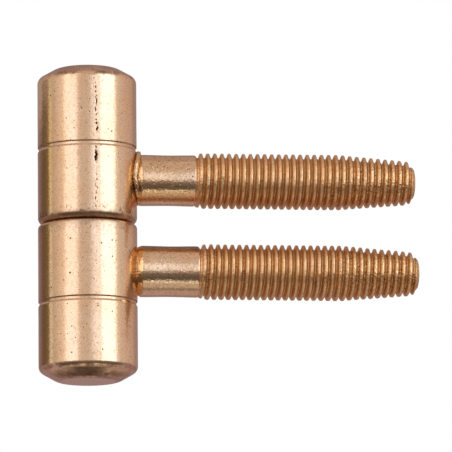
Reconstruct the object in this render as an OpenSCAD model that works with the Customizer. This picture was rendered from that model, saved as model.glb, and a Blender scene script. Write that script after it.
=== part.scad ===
// Two-part screw-in hinge for a door or a casement. Each half is a turned barrel with a
// thread-rolled screw welded to its side. A loose steel axle stands in the lower barrel,
// and the upper half turns with it and lifts off it.

/* [Barrels] */
// Outside diameter of both barrels
barrel_d = 14; // [12:0.5:20]
// Length of one barrel, from its joint face to its outer end
barrel_length = 22.3; // [18:0.1:30]
// Running gap between the two joint faces
joint_gap = 0.05; // [0.02:0.01:0.3]
// Radius that breaks the edge of the lower barrel's joint face
lower_joint_edge_r = 0.6; // [0.2:0.05:1.5]
// Radius that breaks the edge of the upper barrel's joint face
upper_joint_edge_r = 1; // [0.2:0.05:1.5]
// Width of the bevel on each outer end, measured across the end
end_bevel_w = 2.6; // [2:0.1:3]
// Height of the bevel on each outer end
end_bevel_h = 1.5; // [1:0.05:2]
// Radius that rounds the outer bevel into the side of the barrel
shoulder_r = 1.6; // [0.4:0.1:2.4]
// Radius that rounds the outer bevel into the end face
end_edge_r = 2.2; // [0.4:0.1:3]

/* [Ring groove] */
// Distance of the lower barrel's ring groove from its joint face
lower_ring_offset = 11.35; // [10.4:0.05:15]
// Distance of the upper barrel's ring groove from its joint face
upper_ring_offset = 10.65; // [10.4:0.05:15]
// Width of the ring groove at the surface
ring_w = 0.7; // [0.3:0.05:1.2]
// Depth of the ring groove
ring_depth = 0.2; // [0.1:0.05:0.6]

/* [Axle] */
// Diameter of the loose axle
axle_d = 7; // [5:0.1:8]
// Running clearance between the axle and each bore, on the radius
axle_clearance = 0.05; // [0.02:0.01:0.1]
// End play of the axle between the two blind bores
axle_end_play = 0.1; // [0.05:0.05:0.5]
// Bevel on both ends of the axle
axle_bevel = 0.8; // [0.2:0.1:1.5]
// Metal left between the drill point of each bore and the outer end
end_wall = 3.6; // [2:0.1:5]
// Included angle of the drill point at the end of each bore
drill_angle = 118; // [90:1:140]
// Countersink at the mouth of each bore
bore_mouth = 0.4; // [0.1:0.05:0.8]

/* [Screws] */
// Distance of each screw's axis from the joint face
screw_offset = 6.5; // [5:0.1:8]
// Diameter of the smooth shank, which is the blank that the thread is rolled on
shank_d = 7.26; // [5:0.02:7.4]
// Length of the smooth shank, from the side of the barrel
shank_length = 8.7; // [4:0.1:14]
// Outside diameter of the thread
thread_d = 7.84; // [7.5:0.02:9]
// Length of the run-out between the shank and the full thread
runout_length = 0.8; // [0.4:0.1:2]
// Length of the full thread that has parallel sides
thread_length = 19.5; // [10:0.1:40]
// Pitch of the thread
thread_pitch = 1.015; // [0.8:0.005:1.25]
// Depth of the thread, from its crests to its roots
thread_depth = 0.62; // [0.3:0.02:0.7]
// Length of the tapered thread behind the tip
taper_length = 9.4; // [4:0.1:16]
// Diameter at the small end of the taper
taper_end_d = 6.3; // [4.5:0.02:7.2]
// Length of the rounded tip
tip_length = 1.6; // [0.6:0.1:2.5]
// Diameter of the flat on the end of the tip
tip_flat_d = 3.4; // [1:0.1:4]

/* [Welds] */
// Depth to which the end of each screw is sunk into the side of its barrel
weld_sink = 0.2; // [0.1:0.05:0.8]
// Bevel on the welded end of each screw, along the screw
root_bevel_l = 0.75; // [0.2:0.05:1.5]
// Bevel on the welded end of each screw, on the radius
root_bevel_w = 0.35; // [0.1:0.05:0.8]
// Length that the upper screw lost in its weld, some of it squeezed out as the bead
upper_burn_off = 0.4; // [0:0.05:1]
// Width of the bead that was squeezed out of the upper weld
bead_w = 0.8; // [0.5:0.05:1.2]
// Height of the bead over the top of the shank
bead_top = 0.42; // [0.2:0.02:0.8]
// Height of the bead under the shank
bead_bottom = 0.08; // [0.04:0.02:0.15]

/* [Hidden] */
$fn = 96;
arc_steps = 6;
plating = "#c99a6c";
plated_thread = "#b07a45";
bare_steel = "#b9bcc0";

barrel_r = barrel_d / 2;
shank_r = shank_d / 2;
thread_r = thread_d / 2;
axle_r = axle_d / 2;
bore_r = axle_r + axle_clearance;
drill_point = bore_r / tan(drill_angle / 2);
bore_depth = barrel_length - end_wall - drill_point;
axle_length = 2 * bore_depth + joint_gap - axle_end_play;

// Stations along a screw, measured from the hinge axis
root_x = barrel_r - weld_sink;
shank_x = barrel_r + shank_length;
thread_x = shank_x + runout_length;
taper_x = thread_x + thread_length;
tip_x = taper_x + taper_length;
end_x = tip_x + tip_length;

// One turn of the thread, depth and then distance: a flat crest, a flank down and a flat
// root, from which another flank leads up to the next crest
crest_w = 0.2 * thread_pitch;
flank_w = 0.3 * thread_pitch;
turn = [
    [0, 0], [0, crest_w],
    [thread_depth, crest_w + flank_w], [thread_depth, thread_pitch - flank_w]
];
turns = floor((tip_x - thread_x - crest_w) / thread_pitch);

// The taper's own line meets the end at this radius, and a round joins the two
taper_slope = (thread_d - taper_end_d) / 2 / taper_length;
tip_corner_r = taper_end_d / 2 - tip_length * taper_slope;
tip_round_r = 0.9 * min(tip_length, tip_corner_r - tip_flat_d / 2);

// Points of the arc that rounds the corner b between a and c
function rounded(a, b, c, r) =
    let (
        u = (a - b) / norm(a - b),
        v = (c - b) / norm(c - b),
        half = acos(u * v) / 2,
        centre = b + (u + v) / norm(u + v) * r / sin(half),
        p = b + u * r / tan(half) - centre,
        q = b + v * r / tan(half) - centre,
        start = atan2(p.y, p.x),
        sweep = (atan2(q.y, q.x) - start + 540) % 360 - 180
    )
    [for (i = [0:arc_steps]) let (t = start + sweep * i / arc_steps)
        centre + r * [cos(t), sin(t)]];

// Section of one barrel: radius, then distance from the joint face
function barrel_section(ring_offset, joint_edge_r) =
    let (
        groove = [barrel_r, ring_offset],
        shoulder = [barrel_r, barrel_length - end_bevel_h],
        end_rim = [barrel_r - end_bevel_w, barrel_length]
    )
    concat(
        [[bore_r + bore_mouth, 0]],
        rounded([bore_r, 0], [barrel_r, 0], groove, joint_edge_r),
        [groove - [0, ring_w / 2], groove - [ring_depth, 0], groove + [0, ring_w / 2]],
        rounded(groove, shoulder, end_rim, shoulder_r),
        rounded(shoulder, end_rim, [0, barrel_length], end_edge_r),
        [[0, barrel_length], [0, bore_depth + drill_point], [bore_r, bore_depth], [bore_r, bore_mouth]]
    );

// Radius over the crests at a distance from the hinge axis
function over_crests(x) = thread_r - max(0, x - taper_x) * taper_slope;

// Section of the thread, as plain rings that stand in for its helix
function thread_section() =
    [for (i = [0:turns - 1])
        let (x = thread_x + i * thread_pitch)
        for (p = turn)
            [over_crests(x + p.y) - p.x, x + p.y]];

// Section of one screw: radius, then distance from the hinge axis. burn_off moves all of
// it but the welded end towards the barrel.
function screw_section(burn_off) =
    let (
        back = [0, burn_off],
        last_crest_x = thread_x + turns * thread_pitch,
        taper_rim = [taper_end_d / 2, tip_x] - back,
        end_rim = [tip_flat_d / 2, end_x] - back,
        tip_corner = [tip_corner_r, end_x] - back
    )
    concat(
        [[0, root_x], [shank_r - root_bevel_w, root_x], [shank_r, root_x + root_bevel_l]],
        [[shank_r, shank_x] - back],
        [for (p = thread_section()) p - back],
        [[over_crests(last_crest_x), last_crest_x] - back, taper_rim],
        rounded(taper_rim, tip_corner, end_rim, tip_round_r),
        [[0, end_x] - back]
    );

// A body of revolution about the X axis, from a section of radius and distance
module turned_along_x(section) {
    rotate([0, 90, 0])
        rotate_extrude()
            polygon(section);
}

// One barrel standing on its joint face, with a blind bore from that face
module barrel(ring_offset, joint_edge_r) {
    color(plating)
        rotate_extrude()
            polygon(barrel_section(ring_offset, joint_edge_r));
}

// One screw on the X axis, its end cut to sit on the side of the barrel
module screw(burn_off, bead) {
    color(plated_thread)
        difference() {
            union() {
                turned_along_x(screw_section(burn_off));
                if (bead) weld_bead();
            }
            cylinder(r = barrel_r, h = 2 * barrel_length, center = true);
        }
}

// Flash that was squeezed out round the upper screw, thick above and thin below
module weld_bead() {
    bead_r = shank_r + (bead_top + bead_bottom) / 2;
    side_r = shank_r - 2 * bead_bottom;
    bead_x = barrel_r - weld_sink / 2;
    translate([0, 0, (bead_top - bead_bottom) / 2])
        turned_along_x([
            [0, bead_x], [side_r, bead_x], [bead_r, bead_x + 0.35 * bead_w],
            [0.97 * bead_r, bead_x + 0.7 * bead_w], [side_r, bead_x + bead_w], [0, bead_x + bead_w]
        ]);
}

// Puts the origin on the lower screw's axis, where its full thread starts
module in_frame() {
    translate([-thread_x, 0, screw_offset + joint_gap / 2])
        children();
}

module lower_barrel() {
    in_frame()
        mirror([0, 0, 1])
            translate([0, 0, joint_gap / 2])
                barrel(lower_ring_offset, lower_joint_edge_r);
}

module lower_screw() {
    in_frame()
        translate([0, 0, -screw_offset - joint_gap / 2])
            screw(burn_off = 0, bead = false);
}

module axle() {
    bottom = -axle_length / 2;
    end_r = axle_r - axle_bevel;
    color(bare_steel)
        in_frame()
            rotate_extrude()
                polygon([
                    [0, bottom], [end_r, bottom], [axle_r, bottom + axle_bevel],
                    [axle_r, -bottom - axle_bevel], [end_r, -bottom], [0, -bottom]
                ]);
}

module upper_barrel() {
    in_frame()
        translate([0, 0, joint_gap / 2])
            barrel(upper_ring_offset, upper_joint_edge_r);
}

module upper_screw() {
    in_frame()
        translate([0, 0, screw_offset + joint_gap / 2])
            screw(burn_off = upper_burn_off, bead = true);
}

lower_barrel();
lower_screw();
axle();
upper_barrel();
upper_screw();
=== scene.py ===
import math
import random

import bpy
from mathutils import Matrix, Vector, noise


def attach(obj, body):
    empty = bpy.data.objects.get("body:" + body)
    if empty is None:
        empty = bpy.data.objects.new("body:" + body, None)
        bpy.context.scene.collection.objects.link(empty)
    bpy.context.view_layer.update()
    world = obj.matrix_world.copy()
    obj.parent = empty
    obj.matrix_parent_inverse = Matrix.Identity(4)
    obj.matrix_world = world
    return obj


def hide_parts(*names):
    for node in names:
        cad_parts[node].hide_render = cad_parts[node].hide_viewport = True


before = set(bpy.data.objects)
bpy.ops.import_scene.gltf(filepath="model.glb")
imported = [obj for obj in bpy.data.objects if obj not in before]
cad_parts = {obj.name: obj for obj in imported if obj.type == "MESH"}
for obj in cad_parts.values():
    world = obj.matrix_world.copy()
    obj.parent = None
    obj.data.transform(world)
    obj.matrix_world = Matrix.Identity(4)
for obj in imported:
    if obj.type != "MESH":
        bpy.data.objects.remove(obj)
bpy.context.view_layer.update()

# Lower barrel. Steel bar turned with a ring groove, a broken joint edge and a bevelled end, bored
# blind from the joint face for the axle, then plated a bright copper-gold. It stays with the door
# frame, and the lower screw is welded to its side.
mm = 0.001
hinge_x = -16.5
joint_z = 6.525
joint_gap = 0.05
barrel_r = 7.0
barrel_length = 22.3
end_bevel_w = 2.6
end_bevel_h = 1.5
shoulder_r = 1.1
end_edge_r = 2.2
ring_w = 0.74
ring_depth = 0.17
ring_steep_w = 0.1
ring_slope_w = 0.3
ring_lip_r = 0.05
bore_r = 3.55
bore_mouth = 0.4
bore_depth = 16.567
drill_point = 2.133
lower_joint_edge_r = 0.6
lower_ring_offset = 11.35
lower_screw_z = 0.0
front_angle = math.radians(-6.7)
seam_angle = math.radians(4.8)
plain_r = 3.9
turning_swell = 0.007
turning_ripple = 0.004


def rounded_corner(a, b, c, r, steps):
    """Points of the arc of radius r that rounds the corner b between a and c."""
    a, b, c = Vector(a), Vector(b), Vector(c)
    u, v = (a - b).normalized(), (c - b).normalized()
    half = u.angle(v) / 2
    centre = b + (u + v).normalized() * (r / math.sin(half))
    p, q = b + u * (r / math.tan(half)) - centre, b + v * (r / math.tan(half)) - centre
    start = math.atan2(p.y, p.x)
    sweep = (math.atan2(q.y, q.x) - start + math.pi) % math.tau - math.pi
    turn = [start + sweep * i / steps for i in range(steps + 1)]
    return [(centre.x + r * math.cos(t), centre.y + r * math.sin(t)) for t in turn]


def barrel_outline(ring_offset, joint_edge_r, up, step=0.12):
    """Half section of a barrel from drill point to end: radius, then distance from the joint face.
    The ring groove has its steep side on top."""
    shoulder = (barrel_r, barrel_length - end_bevel_h)
    end_rim = (barrel_r - end_bevel_w, barrel_length)
    lip_a = (barrel_r, ring_offset - ring_w / 2)
    lip_b = (barrel_r, ring_offset + ring_w / 2)
    side_a, side_b = (ring_slope_w, ring_steep_w) if up > 0 else (ring_steep_w, ring_slope_w)
    foot_a = (barrel_r - ring_depth, lip_a[1] + side_a)
    foot_b = (barrel_r - ring_depth, lip_b[1] - side_b)
    corners = [(0.0, bore_depth + drill_point), (bore_r, bore_depth), (bore_r, bore_mouth)]
    corners += [(bore_r + bore_mouth, 0.0)]
    corners += rounded_corner((bore_r, 0), (barrel_r, 0), lip_a, joint_edge_r, 14)
    corners += rounded_corner((barrel_r, 0), lip_a, foot_a, ring_lip_r, 4)
    corners += rounded_corner(lip_a, foot_a, foot_b, ring_lip_r, 4)
    corners += rounded_corner(foot_a, foot_b, lip_b, ring_lip_r, 4)
    corners += rounded_corner(foot_b, lip_b, shoulder, ring_lip_r, 4)
    corners += rounded_corner(lip_b, shoulder, end_rim, shoulder_r, 14)
    corners += rounded_corner(shoulder, end_rim, (0, barrel_length), end_edge_r, 12)
    corners += [(0.0, barrel_length)]
    points = corners[:4]
    for a, b in zip(corners[3:], corners[4:]):
        parts = max(1, round(math.dist(a, b) / step))
        for i in range(1, parts + 1):
            points.append((a[0] + (b[0] - a[0]) * i / parts, a[1] + (b[1] - a[1]) * i / parts))
    return points


def turn_from(t, middle):
    """Angle from middle to t, between half a turn back and half a turn on."""
    return (t - middle + math.pi) % math.tau - math.pi


def barrel_angles():
    """Angles round a barrel, closer together on the front and closest along the line of pits."""
    angles, t = [], -math.pi
    while t < math.pi - 0.01:
        angles.append(t)
        if abs(turn_from(t, seam_angle)) < math.radians(7):
            t += math.radians(0.6)
        else:
            t += math.radians(1.0 if abs(turn_from(t, front_angle)) < math.radians(88) else 2.2)
    return angles


def smooth_mesh(name, points, faces, marks, sharp):
    """A smooth-shaded object from points in millimetres, with each list in marks as an attribute."""
    mesh = bpy.data.meshes.new(name)
    mesh.from_pydata([(x * mm, y * mm, z * mm) for x, y, z in points], [], faces)
    for mark, values in marks.items():
        mesh.attributes.new(mark, "FLOAT", "POINT").data.foreach_set("value", values)
    mesh.polygons.foreach_set("use_smooth", [True] * len(mesh.polygons))
    if sharp:
        mesh.set_sharp_from_angle(angle=math.radians(sharp))
    piece = bpy.data.objects.new(name, mesh)
    bpy.context.collection.objects.link(piece)
    return piece


def bell(value, middle, width):
    """1 at middle, falling to nothing a few widths away."""
    return math.exp(-(((value - middle) / width) ** 2))


def clamp(value):
    """The value, kept between 0 and 1."""
    return min(1.0, max(0.0, value))


def patchy(spot, scale, low, high):
    """Patches from 0 to 1, from noise that rises between low and high."""
    rise = noise.noise(spot * scale) + 0.4 * noise.noise(spot * scale * 3.1) - low
    return clamp(rise / (high - low))


def barrel_wear_and_reflection(t, d, spot, weld_z, crevice, shoulder_tarnish_and_reflection, end_tarnish_and_reflection, joint_tarnish_and_reflection):
    """Darkening on a barrel: tarnish plus painted dark reflection on the joint edge, the shoulder and
    the end bevel, heavier on the side facing the camera, spatter by the joint, a dark line along the
    groove's steep side and a faint dark ring round the weld.
    """
    front = 0.45 + 0.55 * bell(turn_from(t, front_angle), 0.0, 1.0)
    ragged = 0.25 * noise.noise(spot * 1.3) + 0.15 * noise.noise(spot * 3.7)
    joint = joint_tarnish_and_reflection * front * bell(d + ragged, 0.4, 0.55)
    spatter = joint_tarnish_and_reflection * bell(d, 1.0, 0.8) * patchy(spot, 2.2, 0.05, 0.45)
    groove = (0.8 + 0.4 * noise.noise(spot * 1.5)) * bell(d, crevice, 0.08)
    shoulder = shoulder_tarnish_and_reflection * front * bell(d + 1.2 * ragged, barrel_length - end_bevel_h, 0.32)
    shoulder *= patchy(spot, 0.8, -0.4, 0.3)
    bevel = end_tarnish_and_reflection * front * bell(d + ragged, barrel_length - 0.3 * end_bevel_h, 0.5)
    bevel *= patchy(spot, 0.5, -0.6, 0.1)
    reach = math.hypot(barrel_r * math.cos(t), spot.z - weld_z)
    weld = 0.15 * bell(reach, 3.6, 0.2) if math.sin(t) > 0.4 else 0.0
    return min(1.0, max(joint, spatter, groove, shoulder, bevel, weld))


def turned_barrel(
    name, outline, up, ring_offset, weld_z, weld_heat, pits, shoulder_tarnish_and_reflection, end_tarnish_and_reflection, joint_tarnish_and_reflection
):
    """Lathes a barrel about the hinge axis. up is 1 for the upper barrel and -1 for the lower, and
    pits holds (height, angle, length, width, depth)."""
    angles = barrel_angles()
    crevice = ring_offset + up * (ring_w - ring_steep_w) / 2
    points, rows, marks = [], [], {"wear_and_shade": [], "pit": [], "gilt_and_reflection": []}
    for r, d in outline:
        z = joint_z + up * (d + joint_gap / 2)
        if r == 0.0:
            rows.append([len(points)])
            points.append((hinge_x, 0.0, z))
            for values in marks.values():
                values.append(0.0)
            continue
        row = []
        outside = r > plain_r and d > 0.0
        near = [pit for pit in pits if abs(d - pit[0]) < 1.6 * pit[2]]
        for t in angles:
            out, worn_and_shaded, hollow, gilded_and_reflected = r, 0.0, 0.0, 0.0
            if outside:
                spot = Vector((math.sin(t) * r, math.cos(t) * r, z))
                out += turning_swell * noise.noise(spot * 0.45)
                out += turning_ripple * noise.noise(spot * 1.1)
                # tarnish plus painted dark reflection on the joint edge, shoulder and end bevel
                worn_and_shaded = barrel_wear_and_reflection(t, d, spot, weld_z, crevice, shoulder_tarnish_and_reflection, end_tarnish_and_reflection, joint_tarnish_and_reflection)
                if math.sin(t) > 0.3:
                    gilded_and_reflected = weld_heat * bell(math.hypot(barrel_r * math.cos(t), z - weld_z), 3.8, 1.0)
                for height, angle, length, width, depth in near:
                    across = turn_from(t, angle) * r / width
                    across += 0.7 * noise.noise(Vector((0, height * 3, z * 2.5)))
                    reach = ((d - height) / length) ** 2 + across * across
                    reach *= 1 + 0.6 * noise.noise(spot * 5)
                    if reach < 2.5:
                        deep = math.exp(-1.6 * reach)
                        out -= 0.6 * depth * deep
                        hollow = max(hollow, min(1.0, 1.3 * deep) * min(1.0, depth / 0.05))
            row.append(len(points))
            points.append((hinge_x + out * math.sin(t), -out * math.cos(t), z))
            marks["wear_and_shade"].append(worn_and_shaded)
            marks["pit"].append(hollow)
            marks["gilt_and_reflection"].append(min(1.0, gilded_and_reflected))
        rows.append(row)
    faces = []
    count = len(angles)
    for low, high in zip(rows, rows[1:]):
        for i in range(count):
            j = (i + 1) % count
            if len(low) == 1:
                face = (low[0], high[j], high[i])
            elif len(high) == 1:
                face = (low[i], low[j], high[0])
            else:
                face = (low[i], low[j], high[j], high[i])
            faces.append(face if up > 0 else face[::-1])
    return smooth_mesh(name, points, faces, marks, 50)


pit_black = (0.022, 0.013, 0.009, 1)
mm_per_m = 1000.0


class Nodes:
    """Short calls for wiring one material's nodes."""

    def __init__(self, tree):
        self.tree = tree

    def add(self, kind, **settings):
        node = self.tree.nodes.new(kind)
        for key, value in settings.items():
            setattr(node, key, value)
        return node

    def put(self, socket, source):
        if hasattr(source, "links"):
            self.tree.links.new(source, socket)
        else:
            socket.default_value = source

    def maths(self, operation, a, b=0.0, c=0.0):
        node = self.add("ShaderNodeMath", operation=operation)
        for socket, source in zip(node.inputs, (a, b, c)):
            self.put(socket, source)
        return node.outputs[0]

    def blend(self, share, a, b, how="MIX"):
        node = self.add("ShaderNodeMix", data_type="RGBA", blend_type=how)
        self.put(node.inputs[0], share)
        self.put(node.inputs[6], a)
        self.put(node.inputs[7], b)
        return node.outputs[2]

    def span(self, value, low, high, to_low, to_high):
        node = self.add("ShaderNodeMapRange", interpolation_type="SMOOTHSTEP")
        for socket, source in zip(node.inputs, (value, low, high, to_low, to_high)):
            self.put(socket, source)
        return node.outputs[0]

    def cloud(self, place, scale, detail=2.0, rough=0.5):
        node = self.add("ShaderNodeTexNoise")
        self.put(node.inputs["Vector"], place)
        node.inputs["Scale"].default_value = scale
        node.inputs["Detail"].default_value = detail
        node.inputs["Roughness"].default_value = rough
        return node.outputs["Fac"]


def plating(
    name, bright, deep, gilding_and_reflection, tarnish_and_shade, polish, dull, grain, ripple, ripple_scale, speck_share
):
    """Copper-gold plating over steel: clouded tone, yellower where it is gilt and where a gold
    reflection is painted, fine grain, dark specks, the tarnish colour where it is worn and where shade
    is painted, and black pits."""
    material = bpy.data.materials.new(name)
    material.use_nodes = True
    n = Nodes(material.node_tree)
    shader = material.node_tree.nodes["Principled BSDF"]
    shader.inputs["Metallic"].default_value = 1.0
    scale = n.add("ShaderNodeVectorMath", operation="SCALE")
    n.put(scale.inputs[0], n.add("ShaderNodeTexCoord").outputs["Object"])
    scale.inputs["Scale"].default_value = mm_per_m
    place = scale.outputs[0]
    worn_and_shaded = n.add("ShaderNodeAttribute", attribute_name="wear_and_shade").outputs["Fac"]
    pit = n.add("ShaderNodeAttribute", attribute_name="pit").outputs["Fac"]
    gilt_and_reflection = n.add("ShaderNodeAttribute", attribute_name="gilt_and_reflection").outputs["Fac"]
    matt = n.add("ShaderNodeAttribute", attribute_name="matt").outputs["Fac"]
    speckle = n.add("ShaderNodeAttribute", attribute_name="speckle").outputs["Fac"]

    broad = n.cloud(place, 0.22, 3.0)
    fine = n.cloud(place, 2.4, 4.0, 0.65)
    mottle = n.cloud(place, ripple_scale, 2.0, 0.6)
    tone = n.blend(n.span(broad, 0.35, 0.68, 0.0, 1.0), bright, deep)
    tone = n.blend(gilt_and_reflection, tone, gilding_and_reflection)
    stain = n.maths("ADD", n.span(fine, 0.5, 0.75, 0.0, 0.3), n.span(mottle, 0.4, 0.7, 0.0, 0.24))
    tone = n.blend(stain, tone, tarnish_and_shade)

    specks = n.add("ShaderNodeTexVoronoi")
    n.put(specks.inputs["Vector"], place)
    specks.inputs["Scale"].default_value = 1.9
    pick = n.add("ShaderNodeSeparateColor")
    n.put(pick.inputs[0], specks.outputs["Color"])
    share = n.maths("MULTIPLY_ADD", speckle, 0.9, speck_share)
    chosen = n.maths("LESS_THAN", pick.outputs[0], share)
    size = n.maths("MULTIPLY_ADD", pick.outputs[1], 0.2, n.maths("MULTIPLY_ADD", speckle, 0.12, 0.1))
    inner = n.maths("MULTIPLY", size, 0.5)
    dot = n.maths("MULTIPLY", chosen, n.span(specks.outputs["Distance"], inner, size, 1.0, 0.0))
    # dark: the specks, plus worn places and painted shade, drawn in the tarnish colour
    dark = n.maths("MAXIMUM", n.maths("MULTIPLY", dot, 0.8), worn_and_shaded)
    tone = n.blend(dark, tone, tarnish_and_shade)
    tone = n.blend(n.span(pit, 0.25, 0.75, 0.0, 1.0), tone, pit_black)
    n.put(shader.inputs["Base Color"], tone)

    rough = n.span(fine, 0.3, 0.75, polish, dull)
    rough = n.maths("MULTIPLY_ADD", dark, 0.25, rough)
    rough = n.maths("MULTIPLY_ADD", pit, 0.3, rough)
    rough = n.maths("MULTIPLY_ADD", matt, 0.34, rough)
    n.put(shader.inputs["Roughness"], rough)

    swell = n.cloud(place, 0.9, 2.0)
    coarse = n.maths("MULTIPLY", fine, n.maths("MULTIPLY_ADD", matt, 2.2 * grain, grain))
    height = n.maths("MULTIPLY_ADD", swell, 0.6, coarse)
    height = n.maths("MULTIPLY_ADD", mottle, ripple, height)
    height = n.maths("MULTIPLY_ADD", dot, -2.0, height)
    bump = n.add("ShaderNodeBump")
    bump.inputs["Strength"].default_value = 1.0
    bump.inputs["Distance"].default_value = 0.000012
    n.put(bump.inputs["Height"], height)
    n.put(shader.inputs["Normal"], bump.outputs[0])
    return material


barrel_plating = plating(
    "barrel plating",
    bright=(0.96, 0.66, 0.44, 1),
    deep=(0.93, 0.61, 0.38, 1),
    gilding_and_reflection=(0.85, 0.54, 0.26, 1),
    tarnish_and_shade=(0.18, 0.085, 0.04, 1),
    polish=0.13,
    dull=0.22,
    grain=1.0,
    ripple=0.5,
    ripple_scale=5.5,
    speck_share=0.13,
)

chance = random.Random(11)
lower_pits = []
for height, side, size in (
    (2.9, -18.8, 0.15), (7.8, -19.2, 0.18), (5.8, -24.0, 0.1), (16.3, -32.0, 0.11), (18.7, -32.0, 0.12),
    (18.7, 18.0, 0.12), (7.6, 20.8, 0.1), (19.3, 60.0, 0.12), (17.1, -27.5, 0.09), (17.1, -19.0, 0.09),
    (10.4, -32.0, 0.1), (13.0, 22.0, 0.09), (14.9, -40.0, 0.1), (4.1, 34.0, 0.08),
):
    lower_pits.append((height, front_angle + math.radians(side), size, size, 0.05))
for i in range(46):
    size = chance.uniform(0.05, 0.11)
    angle = seam_angle + math.radians(chance.gauss(-0.5, 2.0))
    lower_pits.append((chance.uniform(0.8, 20.0), angle, size * chance.uniform(1.0, 1.6), size, 0.03))
lower_barrel = turned_barrel(
    "lower_barrel_turned",
    barrel_outline(lower_ring_offset, lower_joint_edge_r, -1),
    up=-1,
    ring_offset=lower_ring_offset,
    weld_z=lower_screw_z,
    weld_heat=0.25,
    pits=lower_pits,
    shoulder_tarnish_and_reflection=0.75,
    end_tarnish_and_reflection=1.0,
    joint_tarnish_and_reflection=0.35,
)
lower_barrel.data.materials.append(barrel_plating)
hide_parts("lower_barrel")
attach(lower_barrel, "lower_half")

# Lower screw. A steel blank with a fine thread rolled on it and a tapered lead at the tip, bevelled
# at the other end and welded to the side of the lower barrel, then plated together with it. Where the
# barrel curves away, the weld shows as a rough neck between the two.
weld_sink = 0.2
neck_x = 5.8
neck_top_r = 3.4
neck_side_r = 2.5
root_bevel_l = 0.75
root_bevel_w = 0.35
shank_r = 3.63
shank_length = 8.7
shank_waist = 0.05
runout_length = 0.8
thread_r = 3.92
thread_length = 19.5
taper_length = 9.4
taper_end_r = 3.15
tip_length = 1.6
tip_flat_r = 2.1
thread_pitch = 1.015
thread_depth = 0.66
crest_share = 0.24
root_share = 0.1
stations_per_turn = 15
screw_sides = 144
nose_share = 0.65
nose_start = 1.25
lower_crest_x = 16.45


def screw_stations(burn_off):
    """Distances from the hinge axis at which a screw's rings are set."""
    root = barrel_r - weld_sink
    shank_end = barrel_r + shank_length - burn_off - 1.2
    end = barrel_r + shank_length + runout_length + thread_length + taper_length + tip_length - burn_off
    turns = round((end - shank_end) / thread_pitch * stations_per_turn)
    places = [neck_x]
    for until, count in ((root, 16), (root + 1.0, 20), (shank_end, 58), (end, turns)):
        last = places[-1]
        places += [last + (until - last) * i / count for i in range(1, count + 1)]
    return places


def envelope(x, burn_off):
    """Outer radius of a screw at x from the hinge axis, over the thread's crests."""
    root = barrel_r - weld_sink
    shank_end = barrel_r + shank_length - burn_off
    full = shank_end + runout_length
    taper = full + thread_length
    tip = taper + taper_length
    if x < root - 0.01:
        return neck_side_r
    if x < root + root_bevel_l:
        return shank_r - root_bevel_w * max(0.0, 1 - (x - root) / root_bevel_l) ** 1.2
    if x < shank_end:
        part = (x - root - root_bevel_l) / (shank_end - root - root_bevel_l)
        return shank_r - shank_waist * math.sin(math.pi * part) ** 2
    if x < full:
        return shank_r + (thread_r - shank_r) * (x - shank_end) / runout_length
    if x < taper:
        return thread_r
    slope = (thread_r - taper_end_r) / taper_length
    line = thread_r - slope * (x - taper)
    if x < tip:
        return line
    part = min(1.0, (x - tip) / tip_length)
    return line - (line - tip_flat_r) * (1 - math.sqrt(max(0.0, 1 - part * part)))


def thread_form(turns):
    """Height of the rolled thread at a count of turns: 1 on the crest, 0 in the root."""
    away = abs((turns + 0.5) % 1.0 - 0.5)
    part = (0.5 - root_share / 2 - away) / (0.5 - root_share / 2 - crest_share / 2)
    part = clamp(part)
    return part * part * (3 - 2 * part)


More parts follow.
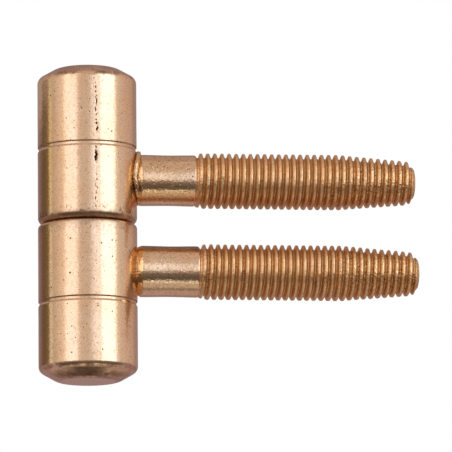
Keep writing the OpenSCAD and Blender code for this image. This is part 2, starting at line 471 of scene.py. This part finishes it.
def threaded_screw(name, z, burn_off, crest_x, bead, stains_and_shade, scars):
    """A screw along +X at height z, with a crest on top at crest_x. bead gives the radius of the flash
    at x and angle t from the top, stains_and_shade the tarnish and painted shade, the gilding and
    painted reflection, and the specks there, and scars holds (x, angle, size) of each torn place on the
    thread."""
    places = screw_stations(burn_off)
    root = barrel_r - weld_sink
    first_turn = barrel_r + shank_length - burn_off
    tip = first_turn + runout_length + thread_length + taper_length
    points, rings, marks = [], [], {"wear_and_shade": [], "gilt_and_reflection": [], "matt": [], "speckle": []}
    for x in places:
        ring = []
        over = envelope(x, burn_off)
        cut = clamp((x - first_turn + 0.25) / 0.7)
        last = clamp((tip + nose_start - x) / 0.25)
        rolled = clamp((x - first_turn + 0.3) / 0.6)
        ends = max(0.0, 1 - (x - first_turn) / 4, min(1.0, (x - first_turn - 16) / 6))
        torn = cut * (0.45 + 0.55 * ends)
        welded = clamp((root + root_bevel_l + 0.1 - x) / 0.4)
        near = [scar for scar in scars if abs(x - scar[0]) < 1.6 * scar[2]]
        for i in range(screw_sides):
            t = math.tau * i / screw_sides
            turns = (x - crest_x) / thread_pitch + t / math.tau
            form = last * thread_form(turns)
            side = (turns + 0.5) % 1.0 - 0.5
            rim = last * bell(side, 0.17, 0.09)
            spot = Vector((x, math.sin(t) * 3.6, math.cos(t) * 3.6 + z))
            r = over - thread_depth * cut * (1 - form) * (nose_share + (1 - nose_share) * last)
            r += 0.006 * noise.noise(spot * 0.6)
            worn_and_shaded, gilded_and_reflected, specks = stains_and_shade(x, t, spot)
            gilded_and_reflected = max(gilded_and_reflected, welded)
            if x < root:
                r = max(r, neck_side_r + (neck_top_r - neck_side_r) * math.cos(t) ** 2)
                r += 0.06 * noise.noise(spot * 2.5)
                # painted shade: the neck in the crevice between screw and barrel is darkened
                worn_and_shaded = max(worn_and_shaded, 0.28 + 0.4 * noise.noise(spot * 3))
            glint = torn * patchy(spot, 3.6, 0.0, 0.25)
            if cut:
                r += cut * (0.016 * noise.noise(spot * 1.8) + 0.016 * noise.noise(spot * 4.1))
                r += 0.1 * torn * (1 - 0.7 * form) * noise.noise(spot * 4.6)
                specks = max(specks, 0.5 * torn * (1 - form))
                # painted shadow: a dark line in the thread's root along one flank
                worn_and_shaded = max(worn_and_shaded, cut * bell(side, 0.39, 0.075) * (0.7 + 0.4 * noise.noise(spot * 0.7)))
                # the polished crest rim is left ungilt on the flank where the highlight falls: a paler
                # painted highlight line
                gilded_and_reflected = max(gilded_and_reflected, cut * (0.85 + 0.3 * noise.noise(spot * 1.2)) * (1 - 0.9 * rim))
            for along, angle, size in near:
                reach = ((x - along) / size) ** 2 + (turn_from(t, angle) * r / size) ** 2
                deep = math.exp(-1.6 * reach)
                r += 0.16 * deep * noise.noise(spot * 4.2)
                worn_and_shaded = max(worn_and_shaded, 0.9 * deep * patchy(spot, 3.4, 0.0, 0.3))
            flash = bead(x, t)
            if flash > r:
                r, gilded_and_reflected = flash, 0.3 * gilded_and_reflected
            ring.append(len(points))
            points.append((hinge_x + x, -r * math.sin(t), z + r * math.cos(t)))
            dulled = rolled * (1 - 0.9 * max(rim, glint))
            for mark, value in zip(marks.values(), (worn_and_shaded, gilded_and_reflected, dulled, specks)):
                mark.append(clamp(value))
        rings.append(ring)
    faces = []
    for inner, outer in zip(rings, rings[1:]):
        for i in range(screw_sides):
            j = (i + 1) % screw_sides
            faces.append((inner[i], outer[i], outer[j], inner[j]))
    for ring, x, flip in ((rings[0], places[0], False), (rings[-1], places[-1], True)):
        centre = len(points)
        points.append((hinge_x + x, 0.0, z))
        for mark in marks.values():
            mark.append(0.0)
        for i in range(screw_sides):
            j = (i + 1) % screw_sides
            faces.append((centre, ring[j], ring[i]) if flip else (centre, ring[i], ring[j]))
    return smooth_mesh(name, points, faces, marks, 0)


def no_bead(x, t):
    """The lower weld has no flash standing above the shank."""
    return 0.0


def lower_shank_painted_shade(x, t, spot):
    """Painted shade: a dark line along the top of the lower shank, under the upper screw."""
    shank = clamp((x - 7.3) / 0.4) * clamp((16.2 - x) / 0.8)
    ragged = 0.12 * noise.noise(spot * 1.6)
    # painted shade along the top of the shank, under the upper screw
    return 0.75 * shank * bell(turn_from(t, 0.4) + ragged, 0.0, 0.36), 0.0, 0.0


screw_plating = plating(
    "screw plating",
    bright=(0.96, 0.67, 0.45, 1),
    deep=(0.92, 0.6, 0.36, 1),
    gilding_and_reflection=(0.94, 0.57, 0.26, 1),
    tarnish_and_shade=(0.22, 0.105, 0.04, 1),
    polish=0.07,
    dull=0.19,
    grain=1.5,
    ripple=2.6,
    ripple_scale=3.2,
    speck_share=0.08,
)

lower_screw = threaded_screw(
    "lower_screw_threaded",
    lower_screw_z,
    burn_off=0.0,
    crest_x=lower_crest_x,
    bead=no_bead,
    stains_and_shade=lower_shank_painted_shade,
    scars=[],
)
lower_screw.data.materials.append(screw_plating)
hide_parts("lower_screw")
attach(lower_screw, "lower_half")

# Axle. A plain ground steel pin with bevelled ends. It stands loose in the lower barrel's bore, and
# the upper barrel drops over it.
axle_r = 3.5
axle_length = 33.084
axle_bevel = 0.8
axle_sides = 128


def turned_axle(name):
    """Lathes the axle about the hinge axis, with small rounds on its bevels."""
    half = axle_length / 2
    end_r = axle_r - axle_bevel
    side = [(0.0, half)]
    side += rounded_corner((0, half), (end_r, half), (axle_r, half - axle_bevel), 0.25, 6)
    side += rounded_corner((end_r, half), (axle_r, half - axle_bevel), (axle_r, 0), 0.4, 6)
    outline = side + [(r, -h) for r, h in reversed(side)]
    points, faces, rows = [], [], []
    for r, h in outline:
        count = 1 if r == 0.0 else axle_sides
        rows.append(range(len(points), len(points) + count))
        for i in range(count):
            t = math.tau * i / axle_sides
            points.append((hinge_x + r * math.sin(t), -r * math.cos(t), joint_z + h))
    for high, low in zip(rows, rows[1:]):
        for i in range(axle_sides):
            j = (i + 1) % axle_sides
            if len(high) == 1:
                faces.append((high[0], low[i], low[j]))
            elif len(low) == 1:
                faces.append((low[0], high[j], high[i]))
            else:
                faces.append((low[i], low[j], high[j], high[i]))
    return smooth_mesh(name, points, faces, {}, 40)


def ground_steel(name):
    """Bare steel with fine grinding lines round it and a thin film of grease."""
    material = bpy.data.materials.new(name)
    material.use_nodes = True
    n = Nodes(material.node_tree)
    shader = material.node_tree.nodes["Principled BSDF"]
    shader.inputs["Metallic"].default_value = 1.0
    stretch = n.add("ShaderNodeMapping")
    n.put(stretch.inputs["Vector"], n.add("ShaderNodeTexCoord").outputs["Object"])
    stretch.inputs["Scale"].default_value = (60, 60, 9000)
    lines = n.cloud(stretch.outputs[0], 1.0, 3.0, 0.6)
    n.put(shader.inputs["Base Color"], n.blend(lines, (0.5, 0.51, 0.52, 1), (0.66, 0.66, 0.65, 1)))
    n.put(shader.inputs["Roughness"], n.span(lines, 0.3, 0.7, 0.2, 0.36))
    bump = n.add("ShaderNodeBump")
    bump.inputs["Strength"].default_value = 1.0
    bump.inputs["Distance"].default_value = 0.000003
    n.put(bump.inputs["Height"], lines)
    n.put(shader.inputs["Normal"], bump.outputs[0])
    return material


axle = turned_axle("axle_ground")
axle.data.materials.append(ground_steel("ground steel"))
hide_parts("axle")
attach(axle, "axle")

# Upper barrel. The same turned and plated piece the other way up, with its groove cut a little nearer
# the joint. A row of dents and open pits runs down it where the bar had a seam.
upper_joint_edge_r = 1.0
upper_ring_offset = 10.65
upper_screw_z = 13.05
upper_pits = [
    (19.2, seam_angle - 0.01, 0.3, 0.05, 0.04),
    (18.6, seam_angle, 0.25, 0.12, 0.05),
    (17.9, seam_angle, 0.2, 0.12, 0.05),
    (16.5, seam_angle + 0.01, 0.8, 0.1, 0.06),
    (15.4, seam_angle - 0.01, 0.5, 0.1, 0.05),
    (14.6, seam_angle, 0.2, 0.1, 0.05),
    (13.9, seam_angle, 0.2, 0.13, 0.05),
    (13.4, seam_angle + 0.01, 0.25, 0.16, 0.06),
    (12.6, seam_angle + 0.02, 0.4, 0.2, 0.08),
    (10.0, seam_angle, 0.2, 0.15, 0.05),
    (8.75, seam_angle, 1.15, 0.25, 0.12),
    (6.1, seam_angle, 0.3, 0.1, 0.03),
    (5.4, seam_angle + 0.01, 0.25, 0.16, 0.035),
    (4.6, seam_angle - 0.02, 0.5, 0.1, 0.03),
    (4.2, seam_angle + 0.02, 0.35, 0.12, 0.035),
    (3.5, seam_angle, 0.3, 0.18, 0.03),
    (2.7, seam_angle - 0.02, 0.4, 0.12, 0.035),
    (2.2, seam_angle + 0.02, 0.25, 0.1, 0.03),
    (1.6, seam_angle - 0.01, 0.25, 0.14, 0.03),
]
for i in range(40):
    size = chance.uniform(0.06, 0.12)
    angle = seam_angle + math.radians(chance.gauss(-0.4, 1.5))
    upper_pits.append((chance.uniform(0.9, 20.2), angle, size * chance.uniform(1.0, 1.6), size, 0.03))
upper_barrel = turned_barrel(
    "upper_barrel_turned",
    barrel_outline(upper_ring_offset, upper_joint_edge_r, 1),
    up=1,
    ring_offset=upper_ring_offset,
    weld_z=upper_screw_z,
    weld_heat=1.0,
    pits=upper_pits,
    shoulder_tarnish_and_reflection=0.9,
    end_tarnish_and_reflection=0.35,
    joint_tarnish_and_reflection=0.85,
)
upper_barrel.data.materials.append(barrel_plating)
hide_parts("upper_barrel")
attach(upper_barrel, "upper_half")

# Upper screw. The same screw, welded to the upper barrel with more heat: it lost 0.4 mm of its length
# in the weld, and a bead of flash hugs the barrel round its root, thick over the top and thin below.
# Spatter from the weld has left dark specks on the front of its shank.
upper_burn_off = 0.4
bead_middle = 7.3
bead_half_w = 0.28
bead_round = 0.12
bead_slope = 0.14
bead_top = 0.45
upper_crest_x = 16.1
upper_scars = [(18.8, math.radians(98), 0.7), (17.2, math.radians(110), 0.5)]


def weld_flash(x, t):
    """Outer radius of the bead of flash at x and angle t from the top, or nothing beside it."""
    hug = barrel_r - math.sqrt(barrel_r ** 2 - (shank_r * math.sin(t)) ** 2)
    place = Vector((math.sin(t) * 4, math.cos(t) * 4, 1.7))
    across = (x - bead_middle + 0.85 * hug - 0.06 * noise.noise(place * 0.8)) / bead_half_w
    if abs(across) >= 1.0:
        return 0.0
    tall = bead_top * max(0.0, math.cos(t)) ** 1.3 - 0.1 * max(0.0, -math.cos(t)) + 0.04
    rough = 0.01 + 0.06 * bell(t, math.radians(115), 0.35)
    tall += 0.04 * noise.noise(place) + rough * noise.noise(Vector((x * 5, t * 14, 3.3)))
    crown = bead_round * (1 - math.sqrt(1 - across * across)) + bead_slope * bead_half_w * across
    return shank_r + tall - crown


def upper_stains_and_reflection(x, t, spot):
    """Specks on the front of the upper shank, a painted gold reflection of the lower screw along its
    underside, and burnt spots on the bead.
    """
    shank = clamp((x - 7.6) / 0.4) * clamp((15.6 - x) / 0.8)
    specks = shank * bell(t, math.radians(68), 0.6)
    # painted reflection: the gold of the lower screw painted along the underside of the shank
    painted_gold_reflection = 0.6 * shank * bell(t, math.radians(128), 0.24)
    burnt = bell(t, math.radians(115), 0.35) * patchy(spot, 3.0, -0.1, 0.2) if x < bead_middle else 0.0
    return burnt, painted_gold_reflection, specks


upper_screw = threaded_screw(
    "upper_screw_threaded",
    upper_screw_z,
    burn_off=upper_burn_off,
    crest_x=upper_crest_x,
    bead=weld_flash,
    stains_and_shade=upper_stains_and_reflection,
    scars=upper_scars,
)
upper_screw.data.materials.append(screw_plating)
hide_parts("upper_screw")
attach(upper_screw, "upper_half")

# Studio. A pale floor well under the hinge, two soft boxes in front, a cloth tent that gives the
# plating something plain to reflect, and dark flags that cut the reflections into bands.
floor_z = -0.2
floor_half = 4
tent_reach = 2.0
screen_reach = 0.9
flag_reach = 0.25
cloth_reach = 0.18
side_reach = 0.12
target = Vector((3.185, 0.0, 6.646)) * mm
camera_azimuth = math.radians(-6.702)
camera_elevation = math.radians(-9.67)
camera_roll = math.radians(-0.506)
camera_distance = 0.95
focal_pixels = 6710.6
frame_pixels = 452


def heading(azimuth, elevation):
    """Unit vector from the hinge: azimuth counts to the right of the camera, both in degrees."""
    a, e = math.radians(azimuth) + camera_azimuth, math.radians(elevation)
    return Vector((math.sin(a) * math.cos(e), -math.cos(a) * math.cos(e), math.sin(e)))


def glow(name, colour, strength):
    """A plain cloth or card that shows one brightness, or the one that its mesh carries."""
    material = bpy.data.materials.new(name)
    material.use_nodes = True
    n = Nodes(material.node_tree)
    material.node_tree.nodes.remove(material.node_tree.nodes["Principled BSDF"])
    light = n.add("ShaderNodeEmission")
    light.inputs["Color"].default_value = (*colour, 1)
    if strength is None:
        strength = n.add("ShaderNodeAttribute", attribute_name="level").outputs["Fac"]
    n.put(light.inputs["Strength"], strength)
    n.put(material.node_tree.nodes["Material Output"].inputs["Surface"], light.outputs[0])
    return material


def staged(name, points, faces, material):
    """A cloth or card of the studio, seen only in reflections."""
    mesh = bpy.data.meshes.new(name)
    mesh.from_pydata(points, [], faces)
    mesh.materials.append(material)
    piece = bpy.data.objects.new(name, mesh)
    bpy.context.collection.objects.link(piece)
    piece.visible_camera = False
    piece.visible_shadow = False
    piece.visible_diffuse = False
    return piece


def card(name, azimuths, elevations, distance, colour, strength, far_strength=None, middle=target):
    """A bowed card between two azimuths and two elevations, graded to far_strength where it has one."""
    points, faces, levels = [], [], []
    across, along = 12, 8
    for i in range(across + 1):
        for j in range(along + 1):
            a = azimuths[0] + (azimuths[1] - azimuths[0]) * i / across
            e = elevations[0] + (elevations[1] - elevations[0]) * j / along
            points.append(middle + heading(a, e) * distance)
            levels.append(strength + ((far_strength or strength) - strength) * i / across)
    for i in range(across):
        for j in range(along):
            k = i * (along + 1) + j
            faces.append((k, k + along + 1, k + along + 2, k + 1))
    piece = staged(name, points, faces, glow(name, colour, None if far_strength else strength))
    if far_strength:
        piece.data.attributes.new("level", "FLOAT", "POINT").data.foreach_set("value", levels)


floor_mesh = bpy.data.meshes.new("floor")
floor_sides = ((-1, -1), (1, -1), (1, 1), (-1, 1))
floor_corners = [(x * floor_half, y * floor_half, floor_z) for x, y in floor_sides]
floor_mesh.from_pydata(floor_corners, [], [(0, 1, 2, 3)])
floor = bpy.data.objects.new("floor", floor_mesh)
bpy.context.collection.objects.link(floor)
floor_paint = bpy.data.materials.new("floor paint")
floor_paint.use_nodes = True
paint = floor_paint.node_tree.nodes["Principled BSDF"]
paint.inputs["Base Color"].default_value = (0.82, 0.81, 0.8, 1)
paint.inputs["Roughness"].default_value = 0.9
paint.inputs["Specular IOR Level"].default_value = 0.1
floor_mesh.materials.append(floor_paint)

card("tent front", (-95, 95), (-7, 36), tent_reach, (1.0, 0.94, 0.9), 0.66)
card("tent front roof", (-95, 95), (36, 90), tent_reach, (1.0, 0.87, 0.8), 0.6)
card("tent right", (95, 135), (-7, 60), tent_reach, (1.0, 0.83, 0.78), 0.66, 0.5)
card("tent back", (135, 200), (-7, 50), tent_reach, (1.0, 0.76, 0.77), 0.4, 0.3)
card("tent left", (200, 265), (-7, 60), tent_reach, (1.0, 0.82, 0.76), 0.4, 0.5)
card("tent roof", (95, 265), (50, 90), tent_reach, (1.0, 0.84, 0.8), 0.45)
card("back cloth", (90, 270), (-40, -7), 0.2, (1.0, 0.74, 0.77), 0.34)
card("under cloth", (90, 270), (-85, -40), cloth_reach, (1.0, 0.82, 0.8), 0.46)
card("front flag", (-85, 90), (-52.5, -29), flag_reach, (1.0, 0.86, 0.78), 0.125)
card("front flag top", (-85, 90), (-29, -16), flag_reach, (1.0, 0.86, 0.78), 0.18)
card("front flag edge", (-85, 90), (-16, -7), flag_reach, (1.0, 0.9, 0.84), 0.34)
card("front cloth", (-90, 90), (-84, -51), cloth_reach, (1.0, 0.88, 0.76), 0.56)
card("front strip", (2, 32), (-56.5, -54.3), 0.17, (0.84, 1.0, 0.98), 2.6)
card("right fill", (7, 27), (-7, 25), screen_reach, (0.94, 1.0, 1.12), 0.84, 1.5)
card("right edge", (66, 84), (-6, 40), screen_reach, (1.0, 0.95, 0.9), 0.95, 0.62)
card("left edge", (-90, -50.5), (-6, 45), screen_reach, (1.0, 0.91, 0.83), 0.48, 1.0)
card("left inner edge", (-24, -15), (-6, 36), screen_reach, (1.0, 0.95, 0.92), 0.82, 0.65)
hinge_middle = Vector((hinge_x, 0.0, joint_z)) * mm
card("left strip", (-96.5, -88), (-12, 9.7), side_reach, (1.0, 0.99, 0.82), 0.88, 0.8, hinge_middle)
card("left strip top", (-97, -88), (9.7, 19.5), side_reach, (1.0, 0.95, 0.52), 0.84, 0.8, hinge_middle)
card("left flag", (-125, -96.5), (-12, 19.5), side_reach, (1.0, 0.74, 0.4), 0.12, 0.19, hinge_middle)
card("left back flag", (-160, -125), (-12, 17), side_reach, (1.0, 0.74, 0.76), 0.35, 0.15, hinge_middle)
shade_cells, shade_x, shade_y, shade_z = 12, (-28, -6.5), (-8, 18), -36
shade, shade_faces, shade_levels = [], [], []
for i in range(shade_cells + 1):
    for j in range(shade_cells + 1):
        x = shade_x[0] + (shade_x[1] - shade_x[0]) * i / shade_cells
        y = shade_y[0] + (shade_y[1] - shade_y[0]) * j / shade_cells
        shade.append((x * mm, y * mm, shade_z * mm))
        dip = math.exp(-(((x - hinge_x) / 8.8) ** 4) - ((y - 5) / 6) ** 4)
        shade_levels.append(0.46 - 0.43 * dip)
        if i and j:
            k = i * (shade_cells + 1) + j
            shade_faces.append((k, k - 1, k - shade_cells - 2, k - shade_cells - 1))
seam_x, seam_y, seam_z = (-80, 80), (2, 21), -160
seam = [(x * mm, y * mm, seam_z * mm) for x in seam_x for y in seam_y]
staged("under seam", seam, [(0, 1, 3, 2)], glow("under seam", (1.0, 0.62, 0.5), 0.1))
under_shade = staged("under shade", shade, shade_faces, glow("under shade", (1.0, 0.8, 0.72), None))
under_shade.data.attributes.new("level", "FLOAT", "POINT").data.foreach_set("value", shade_levels)


def soft_box(name, azimuth, width, elevation, height, distance, colour, radiance):
    """A daylight lamp aimed at the hinge, sized in degrees, of a given brightness in reflections."""
    lamp = bpy.data.lights.new(name, "AREA")
    lamp.shape = "RECTANGLE"
    lamp.size = 2 * distance * math.tan(math.radians(width / 2))
    lamp.size_y = 2 * distance * math.tan(math.radians(height / 2))
    lamp.color = colour
    lamp.energy = radiance * 4 * lamp.size * lamp.size_y
    box = bpy.data.objects.new(name, lamp)
    box.location = target + heading(azimuth, elevation) * distance
    box.rotation_euler = (-heading(azimuth, elevation)).to_track_quat("-Z", "Y").to_euler()
    bpy.context.collection.objects.link(box)


soft_box("right soft box", 49, 38, 18, 60, 0.8, (0.74, 1.0, 1.26), 1.0)
soft_box("left soft box", -38, 29, 18, 60, 0.8, (0.81, 0.9, 1.08), 0.66)

world = bpy.data.worlds.new("white room")
bpy.context.scene.world = world
world.use_nodes = True
room = Nodes(world.node_tree)
ray = room.add("ShaderNodeLightPath")
seen = room.maths("ADD", ray.outputs["Is Camera Ray"], ray.outputs["Is Glossy Ray"])
seen = room.maths("MINIMUM", room.maths("ADD", seen, ray.outputs["Is Transmission Ray"]), 1.0)
back_light = world.node_tree.nodes["Background"]
room.put(back_light.inputs["Color"], room.blend(seen, (0.5, 0.5, 0.5, 1), (1, 1, 1, 1)))
back_light.inputs["Strength"].default_value = 1.0

camera_data = bpy.data.cameras.new("camera")
camera_data.sensor_width = 36.0
camera_data.lens = focal_pixels / frame_pixels * camera_data.sensor_width
camera_data.clip_start = 0.05
camera_data.clip_end = 20.0
camera = bpy.data.objects.new("camera", camera_data)
bpy.context.collection.objects.link(camera)
ahead = -heading(0, math.degrees(camera_elevation))
right = ahead.cross(Vector((0, 0, 1))).normalized()
over = right.cross(ahead)
level = right * math.cos(camera_roll) + over * math.sin(camera_roll)
upright = over * math.cos(camera_roll) - right * math.sin(camera_roll)
pose = Matrix((level, upright, -ahead)).transposed().to_4x4()
pose.translation = target - ahead * camera_distance
camera.matrix_world = pose
bpy.context.scene.camera = camera
bpy.context.scene.view_settings.view_transform = "Standard"
